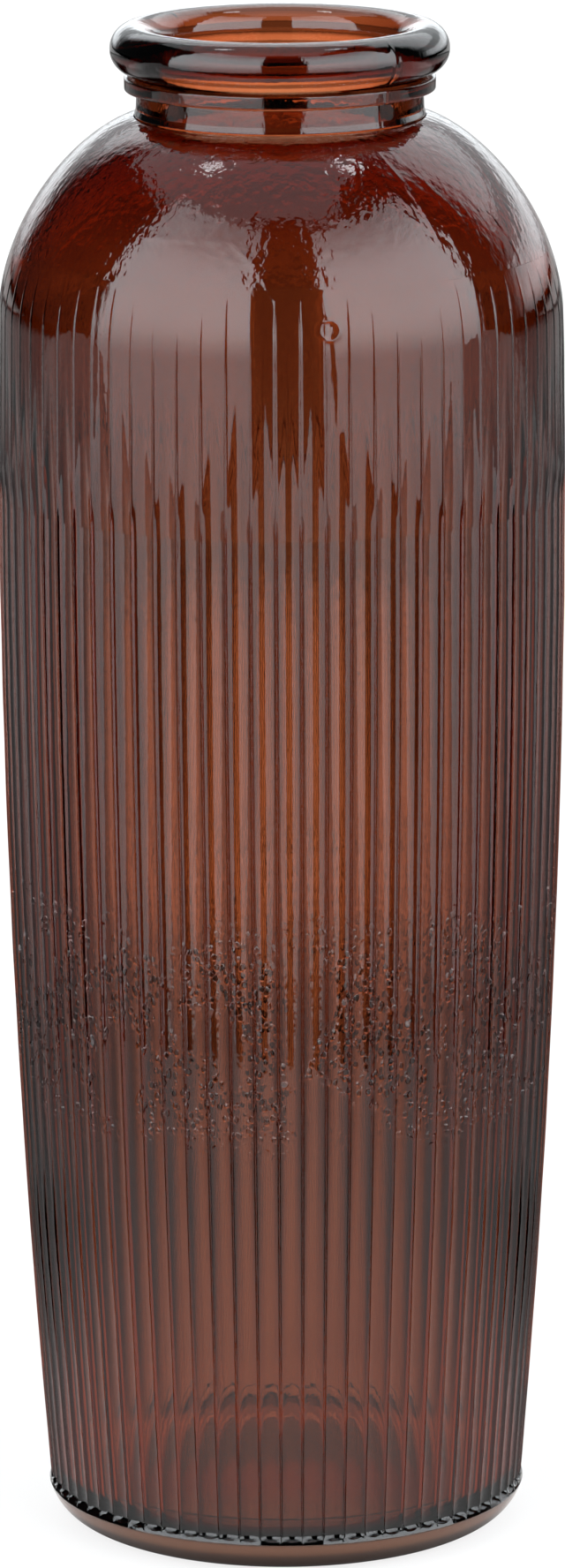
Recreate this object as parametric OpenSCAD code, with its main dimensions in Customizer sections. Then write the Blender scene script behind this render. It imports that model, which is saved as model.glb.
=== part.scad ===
// Tall ribbed glass vase: rolled lip, two-step collar, domed shoulder, fluted body, plain heel.
// Units are millimetres. +Z is up and z = 0 is the surface the vase stands on.
// The vase is one piece of glass. It is divided where its shape changes, into solids that
// meet face to face and never overlap.

/* [Body] */
// Largest outer radius of the body
body_r = 73.65; // [73.2:0.05:74.4]
// Height at which the body is widest
widest_z = 276; // [272:1:280]
// Radius of the long curve the side of the body follows
side_curve_r = 3216; // [3000:1:3600]
// Thickness of the glass in the body wall
wall_t = 4; // [3:0.1:5]

/* [Flutes] */
// Number of hollow flutes around the body
flute_count = 72; // [60:1:80]
// Angle of one flute's middle about the axis, in degrees from the x axis
flute_turn = 1.3; // [0:0.1:5]
// Radius of the round bar whose path would cut each flute
flute_bar_r = 5.3; // [5:0.1:8]
// Height up to which the flutes are at their full depth
flute_full_z = 278; // [270:1:290]
// Height at which the flutes have faded out on the shoulder
flute_end_z = 341; // [336:1:344]
// Height above the table at which each flute starts to close into its pocket
flute_foot_z = 11.4; // [11:0.1:11.9]

/* [Neck] */
// Radius of the straight bore through the neck
bore_r = 31.6; // [30:0.1:32.5]
// Tube radius of the rolled lip
lip_tube_r = 6.3; // [5.5:0.1:6.3]
// Outer radius of the upper collar band
upper_band_r = 40.4; // [39.5:0.1:41.5]
// Outer radius of the lower collar band
lower_band_r = 37.2; // [36.5:0.1:37.8]
// Outer radius of the flared foot of the lower band, where it meets the shoulder
neck_foot_r = 37.8; // [37.8:0.1:39]

/* [Base] */
// Radius of the rounded outer edge of the heel
heel_round_r = 12; // [11:0.1:13]
// How far the heel stands proud of the foot of the side curve
heel_proud = 0.85; // [0.6:0.01:1]
// Height of the inside floor above the table
floor_z = 10.6; // [10.2:0.1:13]
// Radius of the shallow hollow under the base
punt_r = 48; // [47:0.5:52]
// Rise of that hollow at its middle
punt_rise = 5; // [3:0.1:5.5]

/* [Hidden] */
$fn = 144;
long_curve_fn = 1440;
total_h = 400;
heel_top_z = 9;
runout_z = 278;
dome_start_z = 325;
dome_z = 342;
neck_z = 376.2;
band_step_z = 383;
lip_z = 387.4;
heel_inner_r = 46;
floor_fillet_r = 5;
fillet_rim = 0.5;
lip_z_centre = total_h - lip_tube_r;
lip_r_centre = bore_r + lip_tube_r;
side_centre_r = body_r - side_curve_r;
// Bend of the dome: how late it turns in, and how squarely it meets the neck
dome_late = 1.854;
dome_square = 1.463;
dome_steps = 22;
// Rows and columns of points in the fluted rings
runout_rows = 11;
runout_mid_z = 334;
pocket_rows = 4;
wall_rows = 6;
inner_rows = 3;
flute_cols = 4;
// How much faster a flute closes in its pocket than a ball of the bar's radius would
pocket_squash = 2;
heel_blend_h = 3;
fade_power = 1.75;
band_chamfer = 0.8;
band_flare_h = 2.3;
punt_sphere_r = (punt_r * punt_r + punt_rise * punt_rise) / (2 * punt_rise);

// Radius of the long side curve at height z, moved in by t
function side_r(z, t) =
    side_centre_r + sqrt(pow(side_curve_r - t, 2) - pow(z - widest_z, 2));

// Share of the way up the dome, from 0 where it leaves the side curve to 1 at the neck
function dome_share(z, z_end) =
    min(1, max(0, (z - dome_start_z) / (z_end - dome_start_z)));

// How far in the dome has turned at a share s, from 0 to 1
function dome_turn(s) = 1 - pow(1 - pow(s, dome_late), 1 / dome_square);

// Radius of the outer dome surface, and of the surface wall_t inside it
function outer_r(z) =
    side_r(z, 0) - (side_r(neck_z, 0) - neck_foot_r) * dome_turn(dome_share(z, neck_z));
function inner_r(z) =
    side_r(z, wall_t)
    - (side_r(neck_z - wall_t, wall_t) - bore_r) * dome_turn(dome_share(z, neck_z - wall_t));

// Heights that crowd together toward z_end, where the dome turns fastest
function dome_heights(z_end) =
    [for (i = [0:dome_steps]) z_end - (z_end - dome_z) * pow(1 - i / dome_steps, 2)];

// Half section of everything inside the side curve moved in by t, between two heights
module side_section(t, z_low, z_high) {
    intersection() {
        translate([side_centre_r, widest_z]) circle(r = side_curve_r - t, $fn = long_curve_fn);
        translate([0, z_low]) square([body_r + wall_t, z_high - z_low]);
    }
}

// Outer radius of the body before the flutes are cut, with the heel's edge blended in
function plain_r(z) =
    outer_r(z) + heel_proud * pow(max(0, 1 - (z - heel_top_z) / heel_blend_h), 2);

// Slope of a flute's edge, in degrees: sharp crests on the wall, fading out up the shoulder
function edge_slope(z) =
    asin(side_r(z, 0) * sin(180 / flute_count) / flute_bar_r)
    * pow(1 - min(1, max(0, (z - flute_full_z) / (flute_end_z - flute_full_z))), fade_power);

// Radius of the fluted surface at height z and at an angle off a flute's middle.
// A flute is the path of a round bar that follows the side curve, ending in a squashed ball.
function fluted_r(z, off_angle) =
    let (
        sideways = outer_r(z) * sin(off_angle),
        below_foot = max(0, flute_foot_z - z) * pocket_squash,
        reach_sq = pow(flute_bar_r, 2) - pow(sideways, 2) - pow(below_foot, 2),
        bar_axis_r = outer_r(z) + flute_bar_r * cos(edge_slope(z))
    )
    reach_sq > 0 ? min(plain_r(z), bar_axis_r - sqrt(reach_sq)) : plain_r(z);

// Angle of a column of points from the middle of its flute, and from the x axis
function column_off(i) = (i % flute_cols - flute_cols / 2) * 360 / (flute_count * flute_cols);
function column_angle(i) = flute_turn + (i - flute_cols / 2) * 360 / (flute_count * flute_cols);

// n + 1 evenly spaced values from a to b
function spaced(a, b, n) = [for (i = [0:n]) a + (b - a) * i / n];

// Faces that join two rings of n points, first point numbers a and b, walked one way
function ring_faces(n, a, b) =
    [for (i = [0:n - 1]) let (j = (i + 1) % n) each [[a + i, a + j, b + j], [a + i, b + j, b + i]]];

// Closed fluted ring: outer points at the outer heights, then inner points back down
module fluted_ring(outer_heights, inner_heights) {
    cols = flute_count * flute_cols;
    rows = len(outer_heights) + len(inner_heights);
    outer_points = [for (z = outer_heights) for (i = [0:cols - 1])
        let (r = fluted_r(z, column_off(i)), a = column_angle(i)) [r * cos(a), r * sin(a), z]];
    inner_points = [for (z = inner_heights) for (i = [0:cols - 1])
        let (r = inner_r(z), a = column_angle(i)) [r * cos(a), r * sin(a), z]];
    polyhedron(
        points = concat(outer_points, inner_points),
        faces = [for (k = [0:rows - 1]) each ring_faces(cols, ((k + 1) % rows) * cols, k * cols)]
    );
}

// Shallow round hollow under the base
module punt_tool() {
    translate([0, 0, punt_rise - punt_sphere_r]) sphere(r = punt_sphere_r);
}

// Rolled lip with the bore running through it
module lip_bead() {
    color("sienna")
    rotate_extrude() {
        translate([lip_r_centre, lip_z_centre]) circle(r = lip_tube_r);
        translate([bore_r, lip_z]) square([lip_tube_r, lip_z_centre - lip_z]);
    }
}

// Upper collar band, chamfered where it tucks under the lip
module collar_upper_band() {
    color("saddlebrown")
    rotate_extrude() polygon([
        [bore_r, band_step_z],
        [upper_band_r, band_step_z],
        [upper_band_r, lip_z - band_chamfer],
        [upper_band_r - band_chamfer, lip_z],
        [bore_r, lip_z]
    ]);
}

// Lower collar band, flared at the bottom where it meets the shoulder
module collar_lower_band() {
    color("peru")
    rotate_extrude() polygon([
        [bore_r, neck_z],
        [neck_foot_r, neck_z],
        [lower_band_r, neck_z + band_flare_h],
        [lower_band_r, band_step_z],
        [bore_r, band_step_z]
    ]);
}

// Smooth dome from the flutes' tips up to the collar
module shoulder_dome() {
    color("chocolate")
    rotate_extrude() polygon(concat(
        [for (z = dome_heights(neck_z)) [outer_r(z), z]],
        [[bore_r, neck_z]],
        [for (i = [0:dome_steps])
            let (z = dome_heights(neck_z - wall_t)[dome_steps - i]) [inner_r(z), z]]
    ));
}

// Top of the body, where the surface turns in and the flutes run out to points
module flute_runout() {
    color("brown")
    fluted_ring(
        spaced(runout_z, dome_z, runout_rows),
        [dome_z, runout_mid_z, dome_start_z, runout_z]
    );
}

// Fluted side of the body
module ribbed_wall() {
    above_heel = heel_top_z + heel_blend_h;
    color("maroon")
    fluted_ring(
        concat(
            spaced(heel_top_z, flute_foot_z, pocket_rows),
            spaced(above_heel, runout_z, wall_rows)
        ),
        concat(
            spaced(runout_z, floor_z + floor_fillet_r, inner_rows),
            [heel_top_z]
        )
    );
}

// Plain rounded band at the foot, with the ring the vase stands on
module heel_band() {
    color("darkred")
    difference() {
        rotate_extrude() {
            heel_r = side_r(heel_top_z, 0) + heel_proud;
            round_centre_r = heel_r - sqrt(pow(heel_round_r, 2) - pow(heel_round_r - heel_top_z, 2));
            intersection() {
                translate([round_centre_r, heel_round_r]) circle(r = heel_round_r);
                translate([heel_inner_r, 0]) square([body_r, heel_top_z]);
            }
            translate([heel_inner_r, 0])
                square([round_centre_r - heel_inner_r, heel_top_z]);
        }
        punt_tool();
    }
}

// Thick floor of the vase, rounded into the wall and hollowed underneath
module base_floor() {
    fillet_z = floor_z + floor_fillet_r;
    fillet_r = side_r(fillet_z, wall_t) - floor_fillet_r - fillet_rim;
    color("darksalmon")
    difference() {
        rotate_extrude() {
            square([heel_inner_r, heel_top_z]);
            difference() {
                side_section(wall_t, heel_top_z, fillet_z);
                translate([0, floor_z]) square([fillet_r, floor_fillet_r]);
                translate([fillet_r, fillet_z]) circle(r = floor_fillet_r);
            }
        }
        punt_tool();
    }
}

lip_bead();
collar_upper_band();
collar_lower_band();
shoulder_dome();
flute_runout();
ribbed_wall();
heel_band();
base_floor();
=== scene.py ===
"""Visual model of the ribbed glass vase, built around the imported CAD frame.

The glass is worked out in millimetres, as in the CAD model, and the scene is in metres. The vase is
one piece of glass, built as eight closed zones that meet face to face with a hairline gap.
"""
import math

import bmesh
import bpy
import numpy as np
from mathutils import Matrix, Vector


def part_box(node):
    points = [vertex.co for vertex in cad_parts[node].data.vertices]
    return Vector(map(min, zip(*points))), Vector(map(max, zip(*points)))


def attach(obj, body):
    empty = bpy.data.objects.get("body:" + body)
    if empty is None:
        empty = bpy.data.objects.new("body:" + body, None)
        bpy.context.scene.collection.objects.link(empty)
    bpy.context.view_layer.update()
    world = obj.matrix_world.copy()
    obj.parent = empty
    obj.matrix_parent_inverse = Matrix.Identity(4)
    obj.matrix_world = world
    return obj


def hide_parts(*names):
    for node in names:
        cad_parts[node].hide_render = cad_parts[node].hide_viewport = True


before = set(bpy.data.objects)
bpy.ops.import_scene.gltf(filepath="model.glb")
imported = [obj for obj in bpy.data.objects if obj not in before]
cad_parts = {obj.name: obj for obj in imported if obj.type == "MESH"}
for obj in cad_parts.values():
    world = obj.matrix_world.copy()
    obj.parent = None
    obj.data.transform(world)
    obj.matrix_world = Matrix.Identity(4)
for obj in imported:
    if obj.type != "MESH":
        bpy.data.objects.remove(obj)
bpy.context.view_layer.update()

MM = 0.001


def top_of(node):
    """Height of a CAD node's top, in millimetres."""
    return round(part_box(node)[1][2] / MM, 1)


def radius_of(node):
    """Largest radius of a CAD node, in millimetres."""
    return round(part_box(node)[1][0] / MM, 1)


# ---------------------------------------------------------------- sizes from the frame
HEEL_TOP_Z = top_of("heel_band")
RUNOUT_Z = top_of("ribbed_wall")
DOME_Z = top_of("flute_runout")
NECK_Z = top_of("shoulder_dome")
BAND_STEP_Z = top_of("collar_lower_band")
LIP_Z = top_of("collar_upper_band")
TOTAL_H = top_of("lip_bead")
UPPER_BAND_R = radius_of("collar_upper_band")
NECK_FOOT_R = radius_of("collar_lower_band")

# ---------------------------------------------------------------- driving dimensions of the CAD model
BODY_R = 73.65
WIDEST_Z = 276.0
SIDE_CURVE_R = 3216.0
WALL_T = 4.0
FLUTE_COUNT = 72
FLUTE_PITCH = 2 * math.pi / FLUTE_COUNT
FLUTE_TURN = math.radians(1.3)
FLUTE_BAR_R = 5.3
FLUTE_FULL_Z = 278.0
FLUTE_END_Z = 341.0
FLUTE_FOOT_Z = 11.4
POCKET_SQUASH = 2.0
FADE_POWER = 1.75
BORE_R = 31.6
LIP_TUBE_R = 6.3
LOWER_BAND_R = 37.2
HEEL_ROUND_R = 12.0
HEEL_PROUD = 0.85
HEEL_BLEND_H = 3.0
HEEL_INNER_R = 46.0
FLOOR_Z = 10.6
FLOOR_FILLET_R = 5.0
FILLET_TOP_Z = FLOOR_Z + FLOOR_FILLET_R
PUNT_R = 48.0
PUNT_RISE = 5.0
PUNT_SPHERE_R = (PUNT_R ** 2 + PUNT_RISE ** 2) / (2 * PUNT_RISE)
DOME_START_Z = 325.0
DOME_LATE = 1.854
DOME_SQUARE = 1.463

# ---------------------------------------------------------------- detail too fine for the CAD model
CREST_STEPS = (0.0, 0.09, 0.18, 0.28, 0.42, 0.75, 1.30, 1.95, 2.60)  # columns' distances from a crest
COLS = FLUTE_COUNT * 2 * len(CREST_STEPS)
CREST_SOFT = 0.05  # rounding of the crests
RIDGE_H = 0.32  # fine steep ridge that the mould leaves along each crest
RIDGE_W = 0.30
RIDGE_FADE = 0.35
GAP = 0.01  # half of the hairline gap between one zone of the glass and the next
BODY_LUMP = 0.05  # unevenness of the surface in the flutes and on the collar
DOME_LUMP = 0.07
LIP_LUMP = 0.06
HEEL_LUMP = 0.06
SEAM_ANGLES = (math.radians(-90 + 42), math.radians(90 + 42))
SEAM_H = 0.16
SEAM_W = 0.012  # in radians
CREASE_W = 0.4
CREASE_REACH = 3  # how far above and below its ends a crease is still looked for
CREASE_STRETCH = 1.2  # the wall slopes, so a rise in height is a longer way along the glass
# Fine creases in the shoulder: runs of (degrees from the front, height), and how high each stands
CREASES = [([(-31, 353.5), (-11, 353), (-5, 347), (-1.5, 340), (1, 335)], 0.11),
           ([(-4, 366), (-5.5, 361), (-9, 356)], 0.08),
           ([(-50, 356), (-56, 348), (-60, 338)], 0.11),
           ([(31, 374.5), (35, 364), (37, 356), (38, 349)], 0.13),
           ([(35, 374), (42, 364), (47, 356)], 0.09),
           ([(58, 356), (61, 349), (62, 343)], 0.13),
           ([(8.5, 340), (9.0, 337), (9.3, 335)], 0.16),
           ([(8.6, 329), (8.7, 320), (8.9, 308)], 0.14),
           ([(10.6, 329), (11.2, 320), (11.4, 306)], 0.16)]
# Ring-shaped scar of a burst blister on the front of the shoulder: (degrees from the front, height)
BLISTER_AT = (9.7, 332.0)
BLISTER_R = 2.5
BLISTER_W = 0.55
BLISTER_H = 0.30


def side_r(z, t=0.0):
    """Radius of the long curve of the side at height z, moved in by t."""
    return BODY_R - SIDE_CURVE_R + np.sqrt((SIDE_CURVE_R - t) ** 2 - (z - WIDEST_Z) ** 2)


def dome_turn(z, z_end):
    """How far in the dome has turned at height z, from 0 to 1 at z_end."""
    share = np.clip((z - DOME_START_Z) / (z_end - DOME_START_Z), 0.0, 1.0)
    return 1 - (1 - share ** DOME_LATE) ** (1 / DOME_SQUARE)


def outer_r(z):
    """Radius of the body without its flutes."""
    z = np.asarray(z, float)
    return side_r(z) - (side_r(NECK_Z) - NECK_FOOT_R) * dome_turn(z, NECK_Z)


def inner_r(z):
    """Radius of the inside of the wall."""
    z = np.asarray(z, float)
    top = NECK_Z - WALL_T
    return side_r(z, WALL_T) - (side_r(top, WALL_T) - BORE_R) * dome_turn(z, top)


def fluted_r(z, angle):
    """Radius of the fluted surface: a round bar's path cut into the side, ending in a squashed ball."""
    off = (angle - FLUTE_TURN + FLUTE_PITCH / 2) % FLUTE_PITCH - FLUTE_PITCH / 2
    base = outer_r(z)
    plain = base + HEEL_PROUD * max(0.0, 1 - (z - HEEL_TOP_Z) / HEEL_BLEND_H) ** 2
    faded = min(1.0, max(0.0, (z - FLUTE_FULL_Z) / (FLUTE_END_Z - FLUTE_FULL_Z)))
    fade = (1 - faded) ** FADE_POWER
    slope = math.asin(side_r(z) * math.sin(FLUTE_PITCH / 2) / FLUTE_BAR_R) * fade
    sideways = base * np.sin(off)
    below = max(0.0, FLUTE_FOOT_Z - z) * POCKET_SQUASH
    reach = FLUTE_BAR_R ** 2 - sideways ** 2 - below ** 2
    bar = base + FLUTE_BAR_R * math.cos(slope) - np.sqrt(np.maximum(reach, 0.0))
    bar = np.where(reach > 0, bar, plain + 1.0)
    soft = CREST_SOFT * (0.25 + 0.75 * fade)
    above_heel = min(1.0, max(0.0, (z - HEEL_TOP_Z) / HEEL_BLEND_H))
    from_crest = base * (FLUTE_PITCH / 2 - np.abs(off))
    ridge = RIDGE_H * fade ** RIDGE_FADE * above_heel * np.exp(-(from_crest / RIDGE_W) ** 2)
    return 0.5 * (plain + bar - np.sqrt((plain - bar) ** 2 + soft ** 2)) + 0.25 * soft + ridge


# ---------------------------------------------------------------- slow unevenness of the glass
FULL_TURN = 6.28
rng = np.random.default_rng(7)
WAVES = [(rng.integers(1, 7), rng.uniform(0.004, 0.05), rng.uniform(0, FULL_TURN), rng.uniform(0.4, 1.0))
         for _ in range(14)]


def waver(z, angle):
    """Smooth unevenness of a blown surface, about -1 to 1."""
    total = np.zeros(np.broadcast(z, angle).shape)
    for turns, pitch, phase, weight in WAVES:
        total += weight * np.sin(turns * angle + phase + z * pitch * FULL_TURN)
    return total / 5.0


# ---------------------------------------------------------------- mesh building
def bubble(azimuth, z, size, squash, depth):
    """A hollow bubble in the wall: azimuth in degrees from the front, size its radius."""
    a = math.radians(azimuth - 90)
    r = float(outer_r(z)) - WALL_T * depth
    middle = np.array([r * math.cos(a), r * math.sin(a), z])
    sphere = bmesh.new()
    bmesh.ops.create_icosphere(sphere, subdivisions=2, radius=size)
    verts = [middle + np.array(v.co) * (1, 1, squash) for v in sphere.verts]
    faces = [[v.index for v in reversed(f.verts)] for f in sphere.faces]
    sphere.free()
    return verts, faces


def bubbles(z_low, z_high, count, seed):
    """Bubbles spread through the wall between two heights."""
    draw = np.random.default_rng(seed)
    return [bubble(draw.uniform(-180, 180), draw.uniform(z_low, z_high), draw.uniform(0.10, 0.32),
                   draw.uniform(0.8, 1.8), draw.uniform(0.55, 0.8)) for _ in range(count)]


def band(a, b):
    """Faces that join two rings of points, a and b the numbers of their first points."""
    return [(a + i, a + (i + 1) % COLS, b + (i + 1) % COLS, b + i) for i in range(COLS)]


def glass_object(name, verts, faces, joints):
    """A smooth object from points in millimetres. joints says which faces are flat joints with the
    next zone of the glass, and not a real surface."""
    mesh = bpy.data.meshes.new(name)
    mesh.from_pydata((verts * MM).tolist(), [], faces)
    mesh.update()
    attr = mesh.attributes.new("joint_face", "FLOAT", "FACE")
    attr.data.foreach_set("value", np.array(joints, float))
    mesh.polygons.foreach_set("use_smooth", [not joint for joint in joints])
    beside = {}
    for poly, joint in zip(mesh.polygons, joints):
        for edge in poly.edge_keys:
            beside.setdefault(edge, set()).add(joint)
    sharp = mesh.attributes.new("sharp_edge", "BOOLEAN", "EDGE")
    sharp.data.foreach_set("value", [len(beside[tuple(sorted(e.vertices))]) > 1 for e in mesh.edges])
    obj = bpy.data.objects.new(name, mesh)
    bpy.context.scene.collection.objects.link(obj)
    return obj


def closed_ring(name, rings, joint_rings, hollows=()):
    """A closed ring of glass from a loop of rings. joint_rings are the indexes k where the band
    from ring k to ring k + 1 is a joint."""
    verts, faces, joints = np.concatenate(rings), [], []
    for k in range(len(rings)):
        faces += band(k * COLS, ((k + 1) % len(rings)) * COLS)
        joints += [k in joint_rings] * COLS
    for more_verts, more_faces in hollows:
        start = len(verts)
        verts = np.concatenate([verts, np.array(more_verts)])
        faces += [tuple(start + i for i in f) for f in more_faces]
        joints += [False] * len(more_faces)
    return glass_object(name, verts, faces, joints)


def zone(name, outer, inner, hollows=()):
    """A zone of the wall with a joint at its top and one at its foot."""
    return closed_ring(name, outer + inner, {len(outer) - 1, len(outer) + len(inner) - 1}, hollows)


def column_angles():
    """Angles of the columns of points: close together at the sharp crests, wider in the flutes."""
    half = np.array(CREST_STEPS) / BODY_R
    one = np.concatenate([half, [FLUTE_PITCH / 2], FLUTE_PITCH - half[:0:-1]])
    first = FLUTE_TURN - FLUTE_PITCH / 2
    return (first + FLUTE_PITCH * np.arange(FLUTE_COUNT)[:, None] + one[None, :]).ravel()


ANGLES = column_angles()


def ring(radius, z, lump=0.0):
    """One ring of points, radius a number or an array over ANGLES."""
    r = np.broadcast_to(radius, ANGLES.shape) + lump * waver(z, ANGLES)
    return np.stack([r * np.cos(ANGLES), r * np.sin(ANGLES), np.full(COLS, float(z))], 1)


def steps(a, b, size):
    """Evenly spaced values from a to b, about size apart."""
    return np.linspace(a, b, max(2, int(round(abs(b - a) / size)) + 1))


def seam(strength=1.0):
    """Fine raised line where the halves of the mould met."""
    total = np.zeros(COLS)
    for a in SEAM_ANGLES:
        off = (ANGLES - a + math.pi) % (2 * math.pi) - math.pi
        total += np.exp(-(off / SEAM_W) ** 2)
    return total * SEAM_H * strength


def creases(z):
    """Height of the creases and of the blister's ring along one ring of points."""
    total = np.zeros(COLS)
    degrees = (np.degrees(ANGLES) + 90 + 180) % 360 - 180
    r = float(outer_r(z))
    for line, height in CREASES:
        for (a0, z0), (a1, z1) in zip(line, line[1:]):
            if min(z0, z1) - CREASE_REACH > z or max(z0, z1) + CREASE_REACH < z:
                continue
            along = np.array([math.radians(a1 - a0) * r, (z1 - z0) * CREASE_STRETCH])
            from_start = np.stack([np.radians(degrees - a0) * r,
                                   np.full(COLS, (z - z0) * CREASE_STRETCH)], 1)
            t = np.clip(from_start @ along / (along @ along), 0, 1)
            gap = np.linalg.norm(from_start - t[:, None] * along, axis=1)
            total = np.maximum(total, height * np.exp(-(gap / CREASE_W) ** 2))
    from_blister = np.hypot(np.radians(degrees - BLISTER_AT[0]) * r, z - BLISTER_AT[1])
    return total + BLISTER_H * np.exp(-((from_blister - BLISTER_R) / BLISTER_W) ** 2)


def rounded(points, radius, n=5):
    """A polyline of (r, z) whose inside corners are rounded with short arcs."""
    out = [points[0]]
    for p, c, q in zip(points, points[1:], points[2:]):
        p, c, q = (np.array(v, float) for v in (p, c, q))
        u, v = (p - c) / np.linalg.norm(p - c), (q - c) / np.linalg.norm(q - c)
        half = math.acos(float(np.clip(u @ v, -1, 1))) / 2
        cut = min(radius / math.tan(half), 0.45 * min(np.linalg.norm(p - c), np.linalg.norm(q - c)))
        for t in np.linspace(0, 1, n):
            out.append(tuple((1 - t) ** 2 * (c + u * cut) + 2 * t * (1 - t) * c + t ** 2 * (c + v * cut)))
    out.append(points[-1])
    return out


def dense(points, size):
    """The same polyline with more points, about size apart."""
    out = [points[0]]
    for p, q in zip(points, points[1:]):
        n = max(1, int(math.dist(p, q) / size))
        out += [tuple(np.array(p) + (np.array(q) - np.array(p)) * k / n) for k in range(1, n + 1)]
    return out


# ---------------------------------------------------------------- the zones of the glass, from the top
def build_lip():
    """Rolled lip: a full round bead, slightly flattened outside, with the bore running through it."""
    flattened = 0.16
    middle_r, middle_z = BORE_R + LIP_TUBE_R, TOTAL_H - LIP_TUBE_R
    rings = []
    for a in np.linspace(-math.pi / 2 + 0.02, math.pi, 60):
        r, z = middle_r + LIP_TUBE_R * math.cos(a), middle_z + LIP_TUBE_R * math.sin(a)
        outward = max(0, math.cos(a))
        line = seam(max(0.0, math.cos(a * 0.8)))
        rings.append(ring(r - flattened * outward + line, max(z, LIP_Z + GAP), LIP_LUMP * outward))
    rings += [ring(BORE_R, z) for z in steps(middle_z, LIP_Z + GAP, 0.8)[1:]]
    return closed_ring("lip_bead_glass", rings, {len(rings) - 1})


def build_upper_band():
    """Upper step of the collar, its edges softened."""
    z_low, z_high = BAND_STEP_Z + GAP, LIP_Z - GAP
    outline = rounded([(UPPER_BAND_R - 2.2, z_low), (UPPER_BAND_R - 0.1, z_low + 0.05),
                       (UPPER_BAND_R, LIP_Z - 0.9), (UPPER_BAND_R - 1.6, LIP_Z - 0.35),
                       (BORE_R + 5.2, z_high)], 0.5)
    outer = [ring(r + (seam() if r > UPPER_BAND_R - 1 else 0), z, BODY_LUMP)
             for r, z in dense(outline, 0.35)]
    return zone("collar_upper_band_glass", outer, [ring(BORE_R, z) for z in steps(z_high, z_low, 1.0)])


def build_lower_band():
    """Lower step of the collar, flared where it meets the shoulder."""
    z_low, z_high = NECK_Z + GAP, BAND_STEP_Z - GAP
    outline = rounded([(NECK_FOOT_R - 0.2, z_low), (NECK_FOOT_R, NECK_Z + 0.5),
                       (LOWER_BAND_R + 0.15, NECK_Z + 2.0), (LOWER_BAND_R, BAND_STEP_Z - 0.5),
                       (LOWER_BAND_R - 0.3, z_high)], 0.5)
    outer = [ring(r + seam(), z, BODY_LUMP) for r, z in dense(outline, 0.35)]
    return zone("collar_lower_band_glass", outer, [ring(BORE_R, z) for z in steps(z_high, z_low, 1.0)])


def build_dome():
    """Smooth dome. Its rings crowd together at the neck, where it turns fastest."""
    crowding = np.linspace(0, 1, 90)
    top = NECK_Z - WALL_T
    outer_z = NECK_Z - GAP - (NECK_Z - DOME_Z - 2 * GAP) * (1 - crowding) ** 2.2
    inner_z = top - (top - DOME_Z - GAP) * crowding ** 2.2
    outer = [ring(outer_r(z) + seam(0.35) + creases(z), z, DOME_LUMP) for z in outer_z]
    inner = [ring(BORE_R, NECK_Z - GAP), ring(BORE_R, top + 1.5)]
    inner += [ring(float(inner_r(z)), z) for z in inner_z]
    return zone("shoulder_dome_glass", outer, inner, bubbles(346, 364, 16, 21))


def build_fluted(name, outer_z, inner_z, behind_floor_z=(), hollows=()):
    """A zone with flutes. The rings at behind_floor_z lie against the floor's edge, as a joint."""
    rings = [ring(fluted_r(z, ANGLES) + creases(z), z, BODY_LUMP) for z in outer_z]
    foot = len(rings) + len(inner_z) - 1
    joints = {len(rings) - 1} | set(range(foot, foot + len(behind_floor_z) + 1))
    rings += [ring(float(inner_r(z)), z) for z in inner_z]
    rings += [ring(float(side_r(z, WALL_T)), z) for z in behind_floor_z]
    return closed_ring(name, rings, joints, hollows)


def build_runout():
    """Top of the body, where the flutes run out to points. Finer rings cross the blister."""
    low, high, fine_low, fine_high = RUNOUT_Z + GAP, DOME_Z - GAP, 328.0, 336.0
    outer_z = np.concatenate([steps(low, fine_low, 0.7)[:-1], steps(fine_low, fine_high, 0.28)[:-1],
                              steps(fine_high, high, 0.7)])
    return build_fluted("flute_runout_glass", outer_z, steps(high, low, 2.5),
                        hollows=bubbles(284, 338, 40, 22))


def build_wall():
    """Fluted side of the body. Finer rings cross the pockets at the flutes' feet."""
    low, high, pockets_z = HEEL_TOP_Z + GAP, RUNOUT_Z - GAP, HEEL_TOP_Z + HEEL_BLEND_H
    outer_z = np.concatenate([steps(low, pockets_z, 0.12)[:-1], steps(pockets_z, high, 3.0)])
    inner_z = np.concatenate([steps(high, FILLET_TOP_Z + 1, 4.0)[:-1],
                              [FILLET_TOP_Z + 0.5, FILLET_TOP_Z]])
    return build_fluted("ribbed_wall_glass", outer_z, inner_z, steps(FILLET_TOP_Z, low, 2.0)[1:],
                        bubbles(22, 270, 160, 23))


def build_heel():
    """Plain rounded band at the foot, with the ring the vase stands on."""
    inner_foot_z = 0.42
    heel_r = float(side_r(HEEL_TOP_Z)) + HEEL_PROUD
    centre_r = heel_r - math.sqrt(HEEL_ROUND_R ** 2 - (HEEL_ROUND_R - HEEL_TOP_Z) ** 2)
    end = math.asin((HEEL_TOP_Z - GAP - HEEL_ROUND_R) / HEEL_ROUND_R)
    outline = [(HEEL_INNER_R, inner_foot_z), (PUNT_R, 0.0)]
    outline += [(centre_r + HEEL_ROUND_R * math.cos(a), HEEL_ROUND_R + HEEL_ROUND_R * math.sin(a))
                for a in np.linspace(-math.pi / 2, end, 30)]
    rings = [ring(r, z, HEEL_LUMP if z > 0.5 else 0) for r, z in dense(outline, 1.2)]
    inner = [ring(HEEL_INNER_R, z) for z in steps(HEEL_TOP_Z - GAP, inner_foot_z, 2.0)[:-1]]
    joints = set(range(len(rings) - 1, len(rings) + len(inner)))
    return closed_ring("heel_band_glass", rings + inner, joints)


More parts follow.
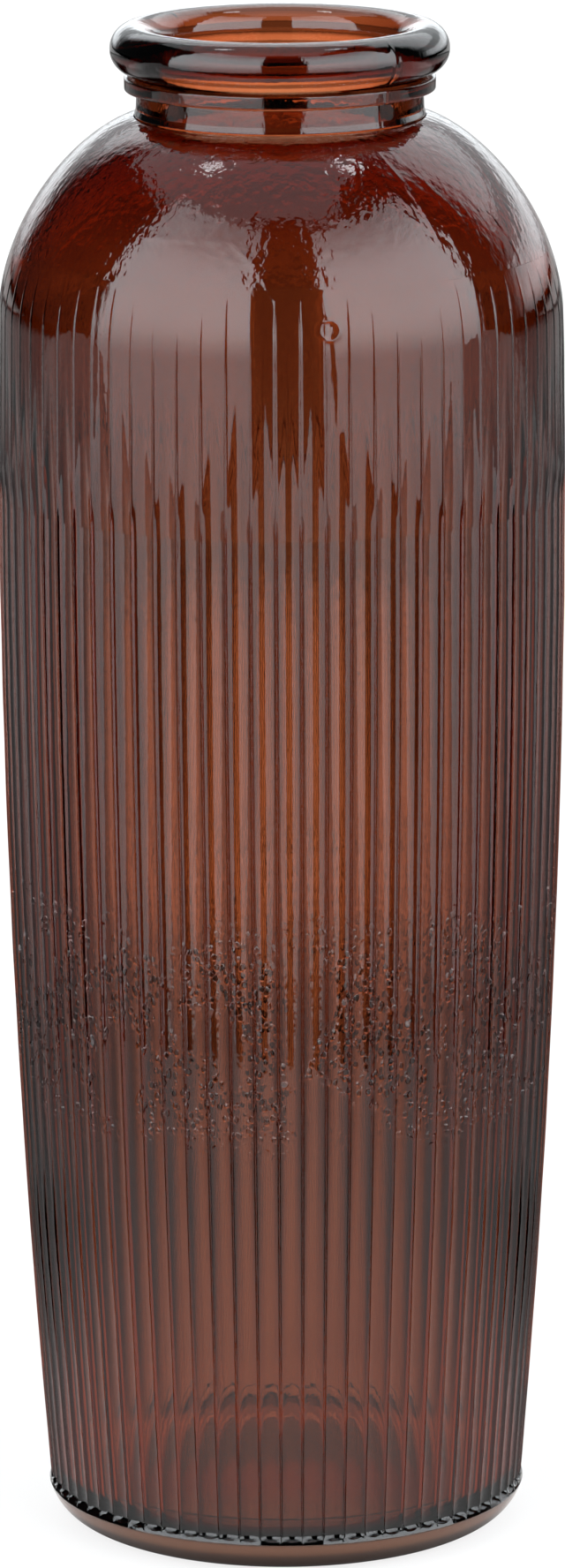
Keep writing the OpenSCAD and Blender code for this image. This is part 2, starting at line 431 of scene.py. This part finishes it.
def build_floor():
    """Thick floor, hollowed underneath: a solid of revolution closed on the axis."""
    crown = 1.5  # how much the inside floor rises towards its middle
    fillet_r = float(side_r(FILLET_TOP_Z, WALL_T)) - FLOOR_FILLET_R - 0.02
    joint_r = HEEL_INNER_R - GAP
    z_low = HEEL_TOP_Z + GAP
    under = [(r, PUNT_RISE - PUNT_SPHERE_R + math.sqrt(PUNT_SPHERE_R ** 2 - r ** 2))
             for r in np.linspace(1.0, joint_r, 24)]
    joint = [(joint_r, HEEL_TOP_Z - 0.5), (joint_r, z_low),
             (float(side_r(HEEL_TOP_Z, WALL_T)) - GAP, z_low)]
    joint += [(float(side_r(z, WALL_T)) - GAP, z) for z in steps(z_low, FILLET_TOP_Z, 1.5)[1:]]
    bowl = [(fillet_r + FLOOR_FILLET_R * math.cos(a), FILLET_TOP_Z + FLOOR_FILLET_R * math.sin(a))
            for a in np.linspace(-0.03, -math.pi / 2, 22)]
    bowl += [(r, FLOOR_Z + crown * (1 - (r / fillet_r) ** 2)) for r in np.linspace(fillet_r, 1.0, 20)[1:]]
    rings = [ring(r, z) for r, z in under + joint + bowl]
    faces, joints = [], []
    for k in range(len(rings) - 1):
        faces += band(k * COLS, (k + 1) * COLS)
        joints += [len(under) - 1 <= k < len(under) + len(joint) - 1] * COLS
    last, middle = (len(rings) - 1) * COLS, len(rings) * COLS
    for i in range(COLS):
        j = (i + 1) % COLS
        faces += [(middle, j, i), (middle + 1, last + i, last + j)]
        joints += [False, False]
    verts = np.concatenate(rings + [[[0, 0, PUNT_RISE], [0, 0, FLOOR_Z + crown]]])
    return glass_object("base_floor_glass", verts, faces, joints)


# ---------------------------------------------------------------- materials
class Nodes:
    """Short way to add and link shader nodes."""

    def __init__(self, tree):
        self.tree = tree
        tree.nodes.clear()

    def add(self, kind, values=None, **props):
        node = self.tree.nodes.new(kind)
        for key, value in props.items():
            setattr(node, key, value)
        for key, value in (values or {}).items():
            if isinstance(value, bpy.types.NodeSocket):
                self.tree.links.new(value, node.inputs[key])
            else:
                node.inputs[key].default_value = value
        return node

    def math(self, operation, a, b=0.0):
        return self.add("ShaderNodeMath", {0: a, 1: b}, operation=operation).outputs[0]

    def total(self, first, *others):
        for other in others:
            first = self.math("ADD", first, other)
        return first

    def product(self, first, *others):
        for other in others:
            first = self.math("MULTIPLY", first, other)
        return first

    def ramp(self, value, low, high):
        """Smooth step from 0 at low to 1 at high. It falls where low is the larger."""
        return self.add("ShaderNodeMapRange", {"Value": value, "From Min": low, "From Max": high},
                        interpolation_type="SMOOTHSTEP", clamp=True).outputs[0]

    def span(self, value, low, high, soft):
        """1 between low and high, with edges soft to either side."""
        return self.product(self.ramp(value, low - soft, low + soft),
                            self.ramp(value, high + soft, high - soft))

    def finish(self, kind, **sockets):
        out = self.add(kind)
        for name, socket in sockets.items():
            self.tree.links.new(socket, out.inputs[name])


GLASS_IOR = 1.5
ABSORB_COLOUR = (0.69, 0.32, 0.03, 1)
TINT_LOW = (0.90, 0.84, 0.82, 1)
TINT_HIGH = (1.0, 0.98, 0.96, 1)
# Painted light in the heel: colour and roughness of an opaque layer that stands in for light coming
# through the glass there
PAINTED_GLOW_COLOUR = (0.27, 0.10, 0.045, 1)
PAINTED_GLOW_ROUGHNESS = 0.06
# Noise sizes, as cells a metre along x, y and z
SLOW_CELLS = (60, 60, 9)
GRAIN_CELLS = (420, 420, 260)
STREAK_CELLS = (900, 900, 14)
PATCH_CELLS = (60, 60, 45)
DROP_CELLS = (560, 560, 380)
SLOW_H = 0.05  # height of the slow unevenness, in millimetres
# How much the chill marks darken the glass's tint: painted shade
MARKS_PAINTED_SHADE = 0.8
# Heights of the chill marks' belt and of the heel's bands of painted glow, in metres
BELT_FOOT = (0.112, 0.135)
BELT_TOP = (0.182, 0.160)
GLOW_BAND_UPPER_FOOT = (0.0045, 0.0068)
GLOW_BAND_UPPER_TOP = (0.0092, 0.0082)
GLOW_BAND_LOWEST = (0.0016, 0.0004)


def glass_material(name, seed, density=560.0, rough=0.02, grain_h=0.01, streak_h=0.0, marks_h=0.0,
                   painted_glow=0.0):
    """Amber glass. The heights are in millimetres: fine grain, fine upright streaks, and the chill
    marks that lie in a belt low on the body. The marks also darken the tint, as painted shade.
    painted_glow is the share of an opaque orange-brown layer: painted light that stands in for the
    light that comes through the heel. A joint face, between two zones of the one glass, is clear."""
    mat = bpy.data.materials.new(name)
    mat.use_nodes = True
    n = Nodes(mat.node_tree)
    place = n.add("ShaderNodeTexCoord").outputs["Object"]
    joint = n.add("ShaderNodeAttribute", attribute_name="joint_face").outputs["Fac"]
    solid = n.math("SUBTRACT", 1.0, joint)

    def noise(cells, detail, offset=0.0):
        at = n.add("ShaderNodeMapping", {"Vector": place, "Location": (seed + offset, seed, 0),
                                         "Scale": cells})
        return n.add("ShaderNodeTexNoise", {"Vector": at.outputs[0], "Scale": 1.0,
                                            "Detail": detail}).outputs["Fac"]

    slow = noise(SLOW_CELLS, 3.0)
    grain = noise(GRAIN_CELLS, 2.0)
    tint = n.add("ShaderNodeValToRGB", {"Fac": slow})
    low, high = tint.color_ramp.elements
    low.position, low.color = 0.3, TINT_LOW
    high.position, high.color = 0.7, TINT_HIGH
    colour = tint.outputs["Color"]
    roughness = n.add("ShaderNodeMapRange", {"Value": grain, "From Min": 0.3, "From Max": 0.7,
                                             "To Min": rough * 0.6, "To Max": rough * 1.4})
    height = n.total(n.product(slow, SLOW_H), n.product(grain, grain_h))
    if streak_h:
        height = n.total(height, n.product(noise(STREAK_CELLS, 2.0, 7.0), streak_h))
    if marks_h:
        z = n.add("ShaderNodeSeparateXYZ", {0: place}).outputs["Z"]
        belt = n.product(n.ramp(z, *BELT_FOOT), n.ramp(z, *BELT_TOP))
        patchy = n.ramp(noise(PATCH_CELLS, 2.0, 3.0), 0.44, 0.52)
        at = n.add("ShaderNodeMapping", {"Vector": place, "Scale": DROP_CELLS})
        cells = n.add("ShaderNodeTexVoronoi", {"Vector": at.outputs[0], "Scale": 1.0})
        drops = n.ramp(cells.outputs["Distance"], 0.42, 0.26)
        marks = n.product(drops, patchy, belt)
        height = n.total(height, n.product(marks, marks_h))
        # Painted shade: the chill marks also darken the glass's tint. This stands in for the dark look
        # that the marks get from what they bend and reflect.
        darker = n.math("SUBTRACT", 1.0, n.product(marks, MARKS_PAINTED_SHADE))
        colour = n.add("ShaderNodeVectorMath", {0: colour, "Scale": darker},
                       operation="SCALE").outputs["Vector"]
    bumped = n.add("ShaderNodeBump", {"Height": height, "Strength": 1.0, "Distance": MM}).outputs[0]
    surface = n.add("ShaderNodeBsdfPrincipled", {
        "Base Color": colour, "Roughness": roughness.outputs[0], "IOR": GLASS_IOR,
        "Transmission Weight": 1.0, "Alpha": solid, "Normal": bumped}).outputs[0]
    # Painted light: an opaque orange-brown layer, weak all round the heel and strong in a band on its
    # upper part and at its lowest edge, stands in for the light that comes through the heel there.
    if painted_glow:
        z = n.add("ShaderNodeSeparateXYZ", {0: place}).outputs["Z"]
        glow_layer = n.add("ShaderNodeBsdfPrincipled", {
            "Base Color": PAINTED_GLOW_COLOUR, "Roughness": PAINTED_GLOW_ROUGHNESS, "IOR": GLASS_IOR,
            "Alpha": solid, "Normal": bumped})
        upper = n.product(n.ramp(z, *GLOW_BAND_UPPER_FOOT), n.ramp(z, *GLOW_BAND_UPPER_TOP))
        edges = n.total(n.product(n.total(upper, n.ramp(z, *GLOW_BAND_LOWEST)), 0.7), 0.3)
        surface = n.add("ShaderNodeMixShader", {"Fac": n.product(edges, painted_glow), 1: surface,
                                                2: glow_layer.outputs[0]}).outputs[0]
    absorb = n.add("ShaderNodeVolumeAbsorption", {"Color": ABSORB_COLOUR, "Density": density})
    n.finish("ShaderNodeOutputMaterial", Surface=surface, Volume=absorb.outputs[0])
    return mat


def build_vase():
    """Every zone of the glass, each in place of the CAD node of the same name."""
    # Painted shade and light: the one glass gets a different strength of colour in each zone. It is
    # stronger in the dome, darkening it as shade, and weaker in the collar and the heel, brightening them
    # as light coming through.
    collar = glass_material("amber_glass_collar", 0.0, 320.0, grain_h=0.07)
    dome = glass_material("amber_glass_dome", 1.3, 620.0, grain_h=0.18, streak_h=0.002)
    ribbed = glass_material("amber_glass_ribbed", 3.1, rough=0.012, grain_h=0.04, streak_h=0.005,
                            marks_h=0.45)
    floor = glass_material("amber_glass_floor", 5.7)
    heel = glass_material("amber_glass_heel", 6.9, 200.0, painted_glow=0.32)
    for build, node, mat in [(build_lip, "lip_bead", collar),
                             (build_upper_band, "collar_upper_band", collar),
                             (build_lower_band, "collar_lower_band", collar),
                             (build_dome, "shoulder_dome", dome),
                             (build_runout, "flute_runout", ribbed),
                             (build_wall, "ribbed_wall", ribbed),
                             (build_heel, "heel_band", heel),
                             (build_floor, "base_floor", floor)]:
        piece = build()
        piece.data.materials.append(mat)
        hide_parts(node)
        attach(piece, "root")


# ---------------------------------------------------------------- floor, studio light and camera
WHITE = (1, 1, 1, 1)
FLOOR_HALF = 9.0
FLOOR_DROP = 0.0002
TABLE_FRONT = -0.47  # where the table ends in front, for the rays the glass sends there
TABLE_EDGE_SOFT = 0.012
# Strips of the table as the glass sees them: near and far edge, softness, half width that is fully
# bright, half width where it has dimmed, brightness, and the share left at the sides
TABLE_STRIPS = [(TABLE_FRONT, 0.06, TABLE_EDGE_SOFT, 0.12, 0.46, 1.1, 0.5),
                (0.07, 0.60, 0.02, 0.05, 0.15, 0.55, 0.0),
                (0.60, 1.2, 0.1, 0.13, 0.32, 1.1, 0.0),
                (1.25, 2.62, 0.2, 0.45, 0.75, 0.42, 0.0),
                (2.66, 20.0, 0.2, 2.2, 3.8, 0.62, 0.0)]
SIDES_LEVEL = 0.55
FAR_SIDES_LEVEL = 0.38


def build_stage():
    """Pale floor. To the camera it is plain. Rays from the glass see a fixed pattern of lighter and
    darker strips on it instead. The pattern was tuned and no real table would give it."""
    mesh = bpy.data.meshes.new("floor")
    corners = [(-1, -1), (1, -1), (1, 1), (-1, 1)]
    mesh.from_pydata([(x * FLOOR_HALF, y * FLOOR_HALF, -FLOOR_DROP) for x, y in corners], [],
                     [(0, 1, 2, 3)])
    mesh.update()
    floor = bpy.data.objects.new("floor", mesh)
    bpy.context.scene.collection.objects.link(floor)
    mat = bpy.data.materials.new("pale_floor")
    mat.use_nodes = True
    n = Nodes(mat.node_tree)
    place = n.add("ShaderNodeNewGeometry").outputs["Position"]
    xyz = n.add("ShaderNodeSeparateXYZ", {0: place})
    side, y = n.math("ABSOLUTE", xyz.outputs["X"]), xyz.outputs["Y"]

    def strip(near, far, soft, half_bright, half_dim, strength, dim):
        across = n.total(n.product(n.ramp(side, half_dim, half_bright), 1.0 - dim), dim)
        return n.product(n.span(y, near, far, soft), across, strength)

    sides = n.product(n.ramp(side, 0.28, 0.34), n.ramp(y, 0.02, 0.06), n.ramp(y, 0.8, 0.6), SIDES_LEVEL)
    far_sides = n.product(n.ramp(side, 0.60, 0.80), n.ramp(y, 0.2, 0.5), n.ramp(y, 2.6, 2.2),
                          n.ramp(side, 3.0, 0.9), FAR_SIDES_LEVEL)
    level = n.total(*[strip(*values) for values in TABLE_STRIPS], sides, far_sides)
    from_axis = n.add("ShaderNodeVectorMath", {0: place}, operation="LENGTH").outputs["Value"]
    under_base = n.math("SUBTRACT", 0.6, n.product(n.ramp(y, 0.0, -0.03), 0.5))
    outside = n.ramp(from_axis, 0.056, 0.069)
    shade = n.total(n.product(under_base, n.math("SUBTRACT", 1.0, outside)), outside)
    level = n.product(level, shade)
    beyond = n.ramp(y, TABLE_FRONT + TABLE_EDGE_SOFT, TABLE_FRONT - TABLE_EDGE_SOFT)
    seen_in_glass = n.add("ShaderNodeMixShader", {
        "Fac": beyond, 1: n.add("ShaderNodeEmission", {"Color": WHITE, "Strength": level}).outputs[0],
        2: n.add("ShaderNodeBsdfTransparent").outputs[0]})
    plain = n.add("ShaderNodeMixShader", {
        "Fac": 0.8, 1: n.add("ShaderNodeBsdfDiffuse", {"Color": (0.9, 0.9, 0.9, 1)}).outputs[0],
        2: n.add("ShaderNodeEmission", {"Color": WHITE, "Strength": 1.0}).outputs[0]})
    mixed = n.add("ShaderNodeMixShader", {
        "Fac": n.add("ShaderNodeLightPath").outputs["Is Camera Ray"], 1: seen_in_glass.outputs[0],
        2: plain.outputs[0]})
    n.finish("ShaderNodeOutputMaterial", Surface=mixed.outputs[0])
    mesh.materials.append(mat)


STUDIO_COLOUR = (0.93, 0.97, 1.0, 1)
AMBIENT = 0.02
SOFTBOX_FOOT = -18.6  # in degrees above the horizon, as all heights of the lights
SOFTBOX_SOFT = 1.5  # of its upright edges. Its level ones are harder
SOFTBOX_LEVEL_SOFT = 0.5
LEFT_SOFTBOX = (-80, -13, 60)  # from and to, in degrees from the front, and its top
RIGHT_SOFTBOX = (19, 90, 58)
# Overhead panel and lamps: from and to in x and in y, one metre up, then softness and brightness
OVERHEAD = (-0.75, 0.36, -0.5, 0.8, 0.02, 0.9)
LAMPS = (0.28, 0.38, 0.13, 0.24, 0.015, 9.0)
OVERHEAD_LOWEST = 0.11
BACK_WALL_LEVEL = 2.2
RAIL_DARK = 0.6


def build_world():
    """Studio light. To the camera the backdrop is plain white. Rays from the glass see two tall
    softboxes in front, a panel and two small lamps overhead, and a pale wall with a darker rail
    behind."""
    world = bpy.data.worlds.new("studio")
    bpy.context.scene.world = world
    world.use_nodes = True
    n = Nodes(world.node_tree)
    ray = n.add("ShaderNodeSeparateXYZ", {0: n.add("ShaderNodeTexCoord").outputs["Generated"]})
    x, y, up = ray.outputs["X"], ray.outputs["Y"], ray.outputs["Z"]
    in_degrees = 180 / math.pi
    azimuth = n.product(n.math("ARCTAN2", x, n.product(y, -1.0)), in_degrees)
    elevation = n.product(n.math("ARCSINE", up), in_degrees)
    rise = n.math("MAXIMUM", up, OVERHEAD_LOWEST)
    over_x, over_y = n.math("DIVIDE", x, rise), n.math("DIVIDE", y, rise)

    glow = n.total(n.product(n.ramp(elevation, -16, 15), 3.2), 1.9)
    glow = n.product(glow, n.total(n.product(n.ramp(elevation, 62, 32), 0.65), 0.35))

    def softbox(start, end, top):
        return n.product(n.span(azimuth, start, end, SOFTBOX_SOFT),
                         n.span(elevation, SOFTBOX_FOOT, top, SOFTBOX_LEVEL_SOFT), glow)

    def overhead(across, x0, x1, y0, y1, soft, strength):
        return n.product(n.span(across, x0, x1, soft), n.span(over_y, y0, y1, soft), strength)

    rail = n.product(n.ramp(elevation, 10, 13), n.ramp(elevation, 23, 20), RAIL_DARK)
    back_wall = n.product(n.ramp(elevation, -4, 4), n.ramp(elevation, 60, 52),
                          n.math("SUBTRACT", 1.0, rail), BACK_WALL_LEVEL,
                          n.ramp(n.math("ABSOLUTE", n.total(azimuth, 16.0)), 126, 142))
    light = n.total(softbox(*LEFT_SOFTBOX), AMBIENT, softbox(*RIGHT_SOFTBOX),
                    overhead(over_x, *OVERHEAD), overhead(n.math("ABSOLUTE", over_x), *LAMPS),
                    back_wall)
    studio = n.add("ShaderNodeBackground", {"Color": STUDIO_COLOUR, "Strength": light})
    plain = n.add("ShaderNodeBackground", {"Color": WHITE, "Strength": 1.0})
    mixed = n.add("ShaderNodeMixShader", {
        "Fac": n.add("ShaderNodeLightPath").outputs["Is Camera Ray"], 1: studio.outputs[0],
        2: plain.outputs[0]})
    n.finish("ShaderNodeOutputWorld", Surface=mixed.outputs[0])


CAMERA_PLACE = Vector((0.0, -2.1465, 0.6940))
CAMERA_PITCH = math.radians(12.998)
CAMERA_ROLL = math.radians(-0.262)
CAMERA_LENS = 192.02
FRAME_H = 1776
FRAME_SHIFT = -0.7


def build_camera():
    """Camera at the height, distance and tilt that give the same outline as the real view."""
    data = bpy.data.cameras.new("camera")
    data.sensor_width = 36.0
    data.lens = CAMERA_LENS
    data.shift_x = FRAME_SHIFT / FRAME_H
    data.clip_end = 50
    cam = bpy.data.objects.new("camera", data)
    bpy.context.scene.collection.objects.link(cam)
    tilt = Matrix.Rotation(math.pi / 2 - CAMERA_PITCH, 4, "X") @ Matrix.Rotation(CAMERA_ROLL, 4, "Z")
    cam.matrix_world = Matrix.Translation(CAMERA_PLACE) @ tilt
    bpy.context.scene.camera = cam


build_vase()
build_stage()
build_world()
build_camera()
scene = bpy.context.scene
scene.view_settings.view_transform = "Standard"
scene.cycles.max_bounces = 16
scene.cycles.transmission_bounces = 14
scene.cycles.transparent_max_bounces = 24
